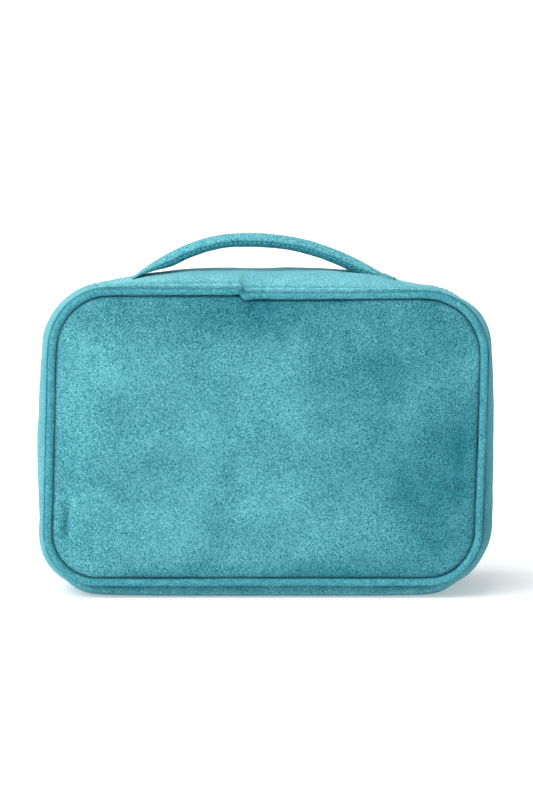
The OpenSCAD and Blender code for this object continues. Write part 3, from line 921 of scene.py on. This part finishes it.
def strap_point(x, across, up, out=0.0):
    """A point of the strap: across and up as in STRAP_SECTION, out metres further from its middle."""
    x, across, up = np.broadcast_arrays(x, across, up)
    d = 0.2 * MM
    slope = (arch_z(x + d) - arch_z(x - d)) / (2 * d)
    length = np.hypot(1, slope)
    near = np.minimum(x - STRAP_RUN[0], STRAP_RUN[1] - x)
    taper = 0.12 + 0.88 * smooth((near + 2 * MM) / (24 * MM))
    narrow = 0.93 + 0.07 * smooth(near / (20 * MM))
    wander = lumps(np.stack([x, 0 * x, 0 * x], axis=-1), 28 * MM, 31, 1) * 0.35 * MM
    depth = up * STRAP_T * taper
    way = np.hypot(across, up + 0.6)
    push_y, push_up = across / way * out, (up + 0.6) / way * out
    px = x - slope / length * (depth + push_up)
    pz = arch_z(x) + (depth + push_up) / length + wander
    py = STRAP_Y + across * STRAP_HALF * narrow + push_y
    crest = Z_HI + gusset_r(px, py)
    tip = smooth(near / (6 * MM))
    floor = crest + (0.15 - 0.5 * (1 - tip)) * MM
    floor = floor + (up + 1) * (0.5 + 1.2 * tip) * MM * (1 - 0.3 * across ** 2)
    return np.stack([px, py, np.maximum(pz, floor)], axis=-1)


def handle():
    half = np.array(STRAP_SECTION)
    loop = np.concatenate([half, half[-2:0:-1] * (-1, 1)])
    count = 4 * len(loop)
    turn = np.arange(count) / 4
    low = np.floor(turn).astype(int)
    t = (turn - low)[:, None]
    p = [loop[(low + k) % len(loop)] for k in (-1, 0, 1, 2)]
    section = 0.5 * (2 * p[1] + (p[2] - p[0]) * t + (2 * p[0] - 5 * p[1] + 4 * p[2] - p[3]) * t ** 2
                     + (3 * p[1] - p[0] - 3 * p[2] + p[3]) * t ** 3)
    x = stations(*STRAP_RUN, 1.5 * MM)[:, None]
    points = strap_point(x, section[None, :, 0], section[None, :, 1])
    fine = lumps(points, 7 * MM, 33) * 0.16 * MM
    points[..., 2] += fine
    rows = len(points)
    faces = grid_faces(rows, count, False, True)
    faces += [tuple(range(count)), tuple((rows - 1) * count + j for j in reversed(range(count)))]
    obj = piece("Handle_Strap", points, faces, SUEDE, None,
                ("handle_strap", "handle_padding", "handle_end_left", "handle_end_right"))
    # Painted light on the strap's padded top, painted shade on its rolled edge and underside.
    paint(obj, np.tile(0.32 - 1.12 * smooth((-0.34 - section[:, 1]) / 0.3), rows))
    blend_handle(obj)
    across, up = STRAP_SECTION[STRAP_GROOVE]
    run = np.arange(STRAP_RUN[0] + 5 * MM, STRAP_RUN[1] - 5 * MM, STITCH_PITCH)
    for side, label in ((-1, "Rear"), (1, "Lid")):
        a = strap_point(run, side * across, up + 0 * run, 0.12 * MM)
        b = strap_point(run + 0.74 * STITCH_PITCH, side * across, up + 0 * run, 0.12 * MM)
        lift = np.tile([0, side * 0.95, 0.3], (len(run), 1))
        blend_handle(threads("Handle_Stitches_" + label, a, b, lift, THREAD, None))


def blend_handle(obj):
    """Bakes the piece's placement into its mesh; it rides on no body."""
    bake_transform(obj)


# ---- the lid, the bindings and the hinge ----

ZIP_END_S = BOTTOM_RIGHT + ZIP_TURN


def arch_run(step):
    """Stations over the top and down both sides, as far as the zip goes."""
    return stations(-ZIP_END_S, ZIP_END_S, step)


def plain_band(name, s, y_range, depth_range, look, body, node, closed=False, ripple=0.15 * MM,
               seed=71):
    """A strip that follows the gusset at a fixed distance from the corner centres, with soft ripples."""
    y = np.linspace(*y_range, 8)[None, :] + 0 * s[:, None]
    r_in, r_out = depth_range
    wave = lumps(around(s[:, None], y, r_out), 14 * MM, seed) * ripple
    return band(name, s, y, r_out + wave, r_in + wave, look, body, (node,), closed)


def stitch_row(name, s, y, r, look, body, out=0.35 * MM):
    """Stitches along a row of stations, at depth y, on a surface r from the corner centres."""
    a = warp(around(s + 0.10 * STITCH_PITCH, y, r + 0.06 * MM))
    b = warp(around(s + 0.80 * STITCH_PITCH, y, r + 0.06 * MM))
    lift = warp(around(s, y, r + out)) - warp(around(s, y, r))
    lift /= np.linalg.norm(lift, axis=1, keepdims=True)
    return threads(name, a, b, lift, look, body)


def lid():
    panel("Lid_Panel", 1, ("lid_panel", "lid_panel_foam"), "lid", 81)
    panel_lining("Lid_Panel_Lining", 1, "lid_panel_lining", "lid", 85)
    piping("Lid_Piping", "Lid_Piping_Cord", PIPE_Y, BASE + 0.62 * CX, 87, "lid",
           ("lid_piping", "lid_piping_cord"))
    s = arch_run(1.6 * MM)
    y = np.linspace(LID_LIP_Y, EDGE_Y, 12)[None, :] + 0 * s[:, None]
    r = gusset_r(s[:, None], y)
    near = EDGE_Y - y
    ripple = lumps(around(s[:, None], y, r), 8 * MM, 91) * 0.2 * MM
    r = r - 1.2 * MM * np.exp(-(near / (0.9 * MM)) ** 2) + ripple
    lip_roll = 0.35 * MM * np.exp(-((y - LID_LIP_Y) / (0.6 * MM)) ** 2)
    obj = band("Lid_Gusset", s, y, r - lip_roll, r - CLOTH, SMOOTH, "lid", ("lid_gusset",))
    # Painted shade where the lid's gusset tucks behind its piping.
    paint(obj, -0.6 * np.exp(-(round_section(near) / (1.0 * MM)) ** 2))
    row = arch_run(STITCH_PITCH)[1:-1]
    at = LID_LIP_Y + 1.6 * MM
    stitch_row("Topstitch_Lid", row, at, gusset_r(row, at) + 0.1 * MM, THREAD, "lid")
    at = CASE_LIP_Y - 1.8 * MM
    stitch_row("Topstitch_Zip", row, at, gusset_surface(row, at) + 0.05 * MM, THREAD, "case")
    lo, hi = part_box("lid_gusset_lining")
    r = R_LIP - 3.6 * MM
    plain_band("Lid_Gusset_Lining", arch_run(3 * MM), (lo.y, hi.y), (r - 0.6 * MM, r), LINING, "lid",
               "lid_gusset_lining")
    for name, node, body in (("Rear_Seam_Binding", "rear_seam_binding", "case"),
                             ("Lid_Seam_Binding", "lid_seam_binding", "lid")):
        lo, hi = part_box(node)
        whole = body == "case"
        run = whole_ring(2 * MM) if whole else arch_run(2 * MM)
        radii = (R_PANEL + 0.4 * MM, hi.z - Z_HI - 0.1 * MM)
        plain_band(name, run, (lo.y, hi.y), radii, BINDING, body, node, closed=whole,
                   ripple=0.08 * MM)
    hinge()


def hinge():
    """Tape sewn over the seam that the lid folds on."""
    route = [(38.6, 14.6), (40.6, 14.3), (42.6, 14.5), (43.8, 15.6), (44.2, 17.2), (44.3, 20.0)]
    route = np.array(route) * MM
    t = np.linspace(0, len(route) - 1, 26)
    y, z = (np.interp(t, range(len(route)), route[:, k]) for k in (0, 1))
    x = stations(-CX + 1 * MM, CX - 1 * MM, 3 * MM)
    normal = np.stack([-np.gradient(z), np.gradient(y)], axis=-1)
    normal /= np.linalg.norm(normal, axis=1, keepdims=True)
    wave = lumps(np.stack([x, 0 * x, 0 * x], axis=-1), 12 * MM, 95)[:, None] * 0.15 * MM
    layers = []
    for out in (0.0, 0.5 * MM):
        py = y + normal[:, 0] * (wave + out)
        pz = z + normal[:, 1] * (wave + out)
        layers.append(np.stack([np.broadcast_to(x[:, None], py.shape), py, pz], axis=-1))
    points = np.concatenate([layers[0], layers[1][:, ::-1]], axis=1)
    rows, m = points.shape[:2]
    faces = grid_faces(rows, m, False, True)
    for a in (0, (rows - 1) * m):
        faces += [(a + j, a + j + 1, a + m - 2 - j, a + m - 1 - j) for j in range(m // 2 - 1)]
    obj = piece("Hinge_Tape", points, faces, BINDING, None, ("hinge_tape",))
    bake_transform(obj)


# ---- the zip ----

SLIDER_PLATE = 0.8 * MM
HOLE_R = 1.2 * MM
EYELET_R = 1.5 * MM
HOLE_FROM_TIP = 3.0 * MM
COIL_PITCH = 1.5 * MM
COIL_WIRE = 0.36 * MM


def teeth(name, side, node, body):
    """Coil of a zip's half: a loop of wire at each pitch, with a wider head that meets the other half's."""
    lo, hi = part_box(node)
    run = arch_run(COIL_PITCH)[1:-1]
    middle = (CASE_LIP_Y + LID_LIP_Y) / 2
    if side > 0:
        run = (run[1:] + run[:-1]) / 2
    outer_edge = lo.y if side < 0 else hi.y
    head = middle - side * 0.55 * MM
    level = hi.z - Z_HI - 0.55 * MM
    steps, sides = 7, 6
    t = np.linspace(0, 1, steps)
    y = outer_edge + (head - outer_edge) * t
    swell_out = np.array([0.5, 0.9, 0.95, 0.95, 1.0, 1.35, 0.6]) * COIL_WIRE
    turn = np.linspace(0, 2 * math.pi, sides, endpoint=False)
    s = run[:, None, None] + swell_out[None, :, None] * np.cos(turn)
    r = level + swell_out[None, :, None] * np.sin(turn) * 1.15
    points = warp(around(s, y[None, :, None], r))
    return piece(name, points, tube_faces(len(run), steps, sides), COIL, body, (node,))


def zip_halves():
    for side, label, body in ((-1, "Rear", "case"), (1, "Lid", "lid")):
        node = "zip_tape_" + body
        lo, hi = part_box(node)
        radii = (hi.z - Z_HI - 0.6 * MM, hi.z - Z_HI)
        plain_band("Zip_Tape_" + label, arch_run(2 * MM), (lo.y, hi.y), radii, TAPE, body, node,
                   ripple=0.05 * MM)
        teeth("Zip_Coil_" + label, side, "zip_coil_" + body, body)
    lo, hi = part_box("zip_end_tab_right")
    for name, centre, node in (("Zip_End_Tab_Right", BOTTOM_RIGHT + ZIP_TAB, "zip_end_tab_right"),
                               ("Zip_End_Tab_Left", LEFT - ZIP_TAB, "zip_end_tab_left")):
        s = stations(centre - 3 * MM, centre + 3 * MM, 0.5 * MM)
        y = np.linspace(lo.y, hi.y - 0.2 * MM, 12)[None, :] + 0 * s[:, None]
        edge = np.minimum(3.1 * MM - np.abs(s - centre)[:, None], np.minimum(y - lo.y, hi.y - y) + 0.1 * MM)
        r = R_LIP - 0.35 * MM + 0.9 * MM * smooth(edge / (0.8 * MM))
        band(name, s, y, r, np.full_like(r, R_LIP - 0.4 * MM), SUEDE, "case", (node,))


# ---- inside: pockets and base board ----


def cloth_slab(name, x, z, y_out, y_in, look, body, nodes):
    """A thin sheet of cloth over the grid of x and z, between two depths given for each grid point."""
    grid_x, grid_z = np.meshgrid(x, z)
    front = np.stack([grid_x, y_out, grid_z], axis=-1)
    back = np.stack([grid_x, y_in, grid_z], axis=-1)
    points = warp(np.concatenate([front.reshape(-1, 3), back.reshape(-1, 3)]))
    return piece(name, points, sheet_faces(*grid_x.shape), look, body, nodes)


def elastic_band(name, node, side, body):
    """Ribbed elastic along a pocket's mouth."""
    lo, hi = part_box(node)
    x = stations(lo.x, hi.x, 0.4 * MM)
    z = np.linspace(lo.z, hi.z, 9)
    grid_x, grid_z = np.meshgrid(x, z)
    ribs = 0.16 * MM * np.sin(2 * math.pi * grid_x / (1.6 * MM))
    middle, half = (lo.y + hi.y) / 2, (hi.y - lo.y) / 2 * 0.7
    edge = smooth((np.minimum(grid_z - lo.z, hi.z - grid_z) + 0.2 * MM) / (0.9 * MM))
    y_out = middle - side * (half * edge + ribs)
    y_in = middle + side * half * edge
    cloth_slab(name, x, z, y_out, y_in, ELASTIC, body, (node,))


def pockets():
    lo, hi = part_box("slip_pocket")
    x, z = stations(lo.x, hi.x, 1.5 * MM), stations(lo.z, hi.z, 2.5 * MM)
    grid_x, grid_z = np.meshgrid(x, z)
    up = (grid_z - lo.z) / (hi.z - lo.z)
    side = smooth((hi.x - np.abs(grid_x)) / (14 * MM))
    gather = 0.35 * MM * np.sin(2 * math.pi * grid_x / (6.5 * MM) + 3 * lumps(
        np.stack([grid_x, 0 * grid_x, grid_z * 0.3], axis=-1), 20 * MM, 101)) * up ** 2
    belly = 1.6 * MM * side * np.sin(math.pi * np.clip(up, 0, 1)) ** 0.8 + gather * side
    obj = cloth_slab("Slip_Pocket", x, z, hi.y + belly, hi.y + belly - 0.45 * MM, LINING, "case",
                     ("slip_pocket",))
    elastic_band("Slip_Pocket_Elastic", "slip_pocket_elastic", -1, "case")
    elastic_band("Mesh_Pocket_Elastic", "mesh_pocket_elastic", 1, "lid")
    mesh_pocket()


MESH_CELL = 3.0 * MM
MESH_THREAD = 0.5 * MM


def mesh_pocket():
    """Open netting: a diamond lattice of threads, with real holes."""
    lo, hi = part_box("mesh_pocket")
    columns = int((hi.x - lo.x) / MESH_CELL)
    rows = int((hi.z - lo.z) / MESH_CELL)
    points, faces = [], []
    for i in range(rows + 1):
        for j in range(columns + 1):
            x = lo.x + (hi.x - lo.x) * j / columns
            z = lo.z + (hi.z - lo.z) * i / rows
            belly = 1.4 * MM * math.sin(math.pi * i / rows) * min(1, min(j, columns - j) / 6)
            points.append((x, lo.y - belly, z))
    centres = len(points)
    for i in range(rows):
        for j in range(columns):
            a, b = i * (columns + 1) + j, (i + 1) * (columns + 1) + j
            corners = np.array([points[a], points[a + 1], points[b + 1], points[b]])
            points.append(tuple(corners.mean(axis=0)))
            c = centres + i * columns + j
            if j < columns - 1:
                faces.append((c, a + 1, c + 1, b + 1))
    obj = piece("Mesh_Pocket", warp(np.array(points)), faces, NET, None, ("mesh_pocket",))
    wire = obj.modifiers.new("Net", "WIREFRAME")
    wire.thickness = MESH_THREAD
    wire.use_even_offset = False
    wire.use_replace = True
    bpy.context.view_layer.objects.active = obj
    bpy.ops.object.modifier_apply(modifier=wire.name)
    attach(obj, "lid")


def base_board():
    """Stiff board wrapped in lining, with soft edges."""
    lo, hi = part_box("base_board")
    x, y = stations(lo.x, hi.x, 2.5 * MM), stations(lo.y, hi.y, 2 * MM)
    grid_x, grid_y = np.meshgrid(x, y)
    edge = np.minimum(np.minimum(grid_x - lo.x, hi.x - grid_x), np.minimum(grid_y - lo.y, hi.y - grid_y))
    half = (hi.z - lo.z) / 2
    arc = np.sqrt(1 - (1 - np.clip(edge / half + 0.15, 0, 1)) ** 2)
    middle = (hi.z + lo.z) / 2
    pillow = lumps(np.stack([grid_x, grid_y, 0 * grid_x], axis=-1), 25 * MM, 111) * 0.15 * MM
    pillow = pillow * smooth(edge / (6 * MM))
    top = np.stack([grid_x, grid_y, middle + half * arc + pillow], axis=-1)
    bottom = np.stack([grid_x, grid_y, middle - half * arc], axis=-1)
    points = np.concatenate([top.reshape(-1, 3), bottom.reshape(-1, 3)])
    piece("Base_Board", points, sheet_faces(*grid_x.shape), LINING, "case", ("base_board",))


# ---- the zip's sliders and pulls ----


def slab(work, outline, z0, z1, round_off, hole=None):
    """A plate with rounded edges, added to the bmesh work: outline and hole are loops of as many points."""
    loops = []
    inside = hole is not None
    for z, shrink in ((z0, round_off), (z0 + round_off, 0), (z1 - round_off, 0), (z1, round_off)):
        loops.append([work.verts.new((*p, z)) for p in shrunk(outline, shrink)])
    holes = []
    if inside:
        for z, shrink in ((z0, -round_off), (z0 + round_off, 0), (z1 - round_off, 0), (z1, -round_off)):
            holes.append([work.verts.new((*p, z)) for p in shrunk(hole, shrink)])
    n = len(outline)
    for rings in (loops, holes):
        for low, high in zip(rings, rings[1:]):
            for i in range(n):
                work.faces.new((low[i], low[(i + 1) % n], high[(i + 1) % n], high[i]))
    for k in (0, -1):
        if inside:
            for i in range(n):
                j = (i + 1) % n
                work.faces.new((loops[k][i], loops[k][j], holes[k][j], holes[k][i]))
        else:
            work.faces.new(loops[k])


def shrunk(loop, by):
    """The loop moved inward by a distance, towards its middle."""
    loop = np.asarray(loop)
    middle = (loop.max(axis=0) + loop.min(axis=0)) / 2
    half = (loop.max(axis=0) - loop.min(axis=0)) / 2
    return middle + (loop - middle) * (1 - by / half)


def rounded(width, length, radius, nose=1.0, points=40):
    """Outline of a rounded plate: length along x, width along y, and nose the width's share at the +x end."""
    angle = np.linspace(0, 2 * math.pi, points, endpoint=False)
    cx, cy = length / 2 - radius, width / 2 - radius
    x = np.cos(angle) * radius + cx * np.sign(np.round(np.cos(angle), 6))
    y = np.sin(angle) * radius + cy * np.sign(np.round(np.sin(angle), 6))
    share = 1 + (nose - 1) * (x + length / 2) / length
    return np.stack([x, y * share], axis=-1)


def rod(work, path, wide, thick, closed=False, sides=10):
    """A rounded bar along a path, added to the bmesh work: wide along y, thick across. The path is in x and
    z, or in x and y where closed, as a link that lies flat."""
    path = np.array(path, float)
    along = np.roll(path, -1, axis=0) - np.roll(path, 1, axis=0) if closed else np.gradient(path, axis=0)
    along /= np.linalg.norm(along, axis=1, keepdims=True)
    side = np.array([0, 0, 1.0]) if closed else np.array([0, 1.0, 0])
    out = np.cross(along, side)
    rings = []
    for p, o in zip(path, out):
        ring = []
        for k in range(sides):
            a = 2 * math.pi * k / sides
            u = math.copysign(abs(math.cos(a)) ** 0.7, math.cos(a)) * wide / 2
            v = math.copysign(abs(math.sin(a)) ** 0.7, math.sin(a)) * thick / 2
            ring.append(work.verts.new(tuple(p + side * u + o * v)))
        rings.append(ring)
    pairs = list(zip(rings, rings[1:] + rings[:1])) if closed else list(zip(rings, rings[1:]))
    for low, high in pairs:
        for k in range(sides):
            work.faces.new((low[k], low[(k + 1) % sides], high[(k + 1) % sides], high[k]))
    if not closed:
        work.faces.new(rings[0])
        work.faces.new(rings[-1])


SHARP_EDGE = math.radians(50)


def metal_piece(name, work, place, flip, body, node):
    """A polished piece from the bmesh work, mirrored where flip is -1 and moved to its place."""
    mesh = bpy.data.meshes.new(name)
    for vert in work.verts:
        vert.co.x *= flip
        vert.co += Vector(place)
    bmesh.ops.recalc_face_normals(work, faces=work.faces)
    work.to_mesh(mesh)
    work.free()
    mesh.polygons.foreach_set("use_smooth", [True] * len(mesh.polygons))
    mesh.materials.append(METAL)
    obj = bpy.data.objects.new(name, mesh)
    bpy.context.scene.collection.objects.link(obj)
    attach(obj, body)
    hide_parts(node)
    edges = obj.modifiers.new("Edges", "EDGE_SPLIT")
    edges.split_angle = SHARP_EDGE
    return obj


def hardware(d, label):
    """Slider and pull on one side, d = -1 left or 1 right: shaped for d = 1 and mirrored for the left."""
    lo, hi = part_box("zip_slider_" + label)
    length, width = hi.x - lo.x, hi.y - lo.y
    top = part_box("zip_pull_" + label)[0].z - 0.25 * MM
    centre = ((lo.x + hi.x) / 2, (lo.y + hi.y) / 2, 0)
    work = bmesh.new()
    outline = rounded(width, length, 1.6 * MM, nose=0.82)
    slab(work, outline, top - SLIDER_PLATE, top, 0.22 * MM)
    slab(work, outline, lo.z, lo.z + SLIDER_PLATE, 0.22 * MM)
    neck = rounded(1.0 * MM, 2.6 * MM, 0.45 * MM) - (length / 2 - 1.6 * MM, 0)
    slab(work, neck, lo.z + 0.2 * MM, top - 0.2 * MM, 0.05 * MM)
    rail = rounded(0.6 * MM, length * 0.9, 0.28 * MM) - (0, width / 2 - 0.35 * MM)
    slab(work, rail, top - 1.3 * MM, top - 0.3 * MM, 0.1 * MM)
    angle = np.linspace(0, math.pi, 15)
    rise = hi.z - 0.35 * MM - top
    path = [(-3.0 * MM * math.copysign(abs(math.cos(a)) ** 0.55, math.cos(a)), 0,
             top - 0.3 * MM + (rise + 0.3 * MM) * math.sin(a) ** 0.6) for a in angle]
    rod(work, path, 1.6 * MM, 0.7 * MM)
    metal_piece("Zip_Slider_" + label.title(), work, centre, d, "slider_" + label, "zip_slider_" + label)

    lo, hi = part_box("zip_pull_" + label)
    thick = hi.z - lo.z
    reach = (hi.x - lo.x) - thick / 2
    width = hi.y - lo.y
    work = bmesh.new()
    link_l = 6.4 * MM
    loop = rounded(width - thick, link_l, 1.4 * MM, points=36) + (link_l / 2 - 0.1 * MM, 0)
    rod(work, [(x, y, 0) for x, y in loop], thick * 0.9, thick * 0.9, closed=True)
    tab_l = reach - link_l + 1.2 * MM
    tab = rounded(width, tab_l, 2.6 * MM, nose=0.9) + (reach - tab_l / 2, 0)
    angle = np.linspace(0, 2 * math.pi, len(tab), endpoint=False)
    middle = reach - HOLE_FROM_TIP
    hole = np.stack([np.cos(angle), np.sin(angle)], axis=-1) * HOLE_R + (middle, 0)
    slab(work, tab, -thick / 2, thick / 2, 0.22 * MM, hole)
    rim = [(middle + EYELET_R * math.cos(a), EYELET_R * math.sin(a), thick / 2) for a in angle]
    rod(work, rim, 0.35 * MM, 0.45 * MM, closed=True, sides=8)
    place = (centre[0], centre[1], (lo.z + hi.z) / 2)
    metal_piece("Zip_Pull_" + label.title(), work, place, d, "pull_" + label, "zip_pull_" + label)


# ---- studio ----


CAMERA_LENS = 173.9
CAMERA_AWAY = 2.1235
CAMERA_PLACE = (0.0003, -PIPE_Y - CAMERA_AWAY, 0.3589)
CAMERA_DOWN = 0.1162
SKY_LEFT, SKY_RIGHT, SKY_SEEN = 1.15, 0.34, 1.1
SUN_POWER = 2.35
SUN_FROM = (-0.55, -0.42, 1.0)
SUN_SPREAD = math.radians(60)
FLOOR_HALF = 30
FLOOR_GLOW = 0.32


def studio():
    """The camera, a bright sky that dims to the right, one soft sun and a white floor."""
    scene = bpy.context.scene
    scene.view_settings.view_transform = "Standard"
    camera = bpy.data.objects.new("camera", bpy.data.cameras.new("camera"))
    camera.data.lens = CAMERA_LENS
    camera.location = CAMERA_PLACE
    camera.rotation_euler = (math.pi / 2 - CAMERA_DOWN, 0, 0)
    scene.collection.objects.link(camera)
    scene.camera = camera
    world = bpy.data.worlds.new("studio")
    world.use_nodes = True
    tree = world.node_tree
    background = tree.nodes["Background"]
    way = add(tree, "SeparateXYZ", {"Vector": add(tree, "TexCoord").outputs["Generated"]})
    spread = {"Value": way.outputs["X"], "From Min": -0.9, "From Max": 0.9, "To Min": SKY_LEFT,
              "To Max": SKY_RIGHT}
    side = add(tree, "MapRange", spread, interpolation_type="SMOOTHSTEP").outputs[0]
    seen = add(tree, "LightPath").outputs["Is Camera Ray"]
    strength = add(tree, "Mix", {0: seen, 2: side, 3: SKY_SEEN}, data_type="FLOAT").outputs[0]
    put(background, "Color", (0.98, 0.99, 1.0, 1))
    put(background, "Strength", strength)
    scene.world = world
    sun = bpy.data.objects.new("key", bpy.data.lights.new("key", "SUN"))
    sun.data.energy = SUN_POWER
    sun.data.angle = SUN_SPREAD
    sun.rotation_euler = Vector(SUN_FROM).to_track_quat("Z", "Y").to_euler()
    scene.collection.objects.link(sun)
    look, tree, shader = surface("floor", Roughness=0.9, Specular_IOR_Level=0.1)
    put(shader, "Base Color", (0.8, 0.8, 0.8, 1))
    put(shader, "Emission Color", (1, 1, 1, 1))
    put(shader, "Emission Strength", FLOOR_GLOW)
    corners = [(x * FLOOR_HALF, y * FLOOR_HALF, 0) for x, y in ((-1, -1), (1, -1), (1, 1), (-1, 1))]
    mesh = bpy.data.meshes.new("floor")
    mesh.from_pydata(corners, [], [(0, 1, 2, 3)])
    mesh.materials.append(look)
    floor = bpy.data.objects.new("floor", mesh)
    scene.collection.objects.link(floor)


studio()
panel("Rear_Panel", -1, ("rear_panel", "rear_panel_foam"), "case", 3)
panel_lining("Rear_Panel_Lining", -1, "rear_panel_lining", "case", 61)
piping("Rear_Piping", "Rear_Piping_Cord", -PIPE_Y, JOINT_X, 41, "case", ("rear_piping", "rear_piping_cord"))
gusset()
gusset_inner()
handle()
lid()
zip_halves()
pockets()
base_board()
hardware(-1, "left")
hardware(1, "right")
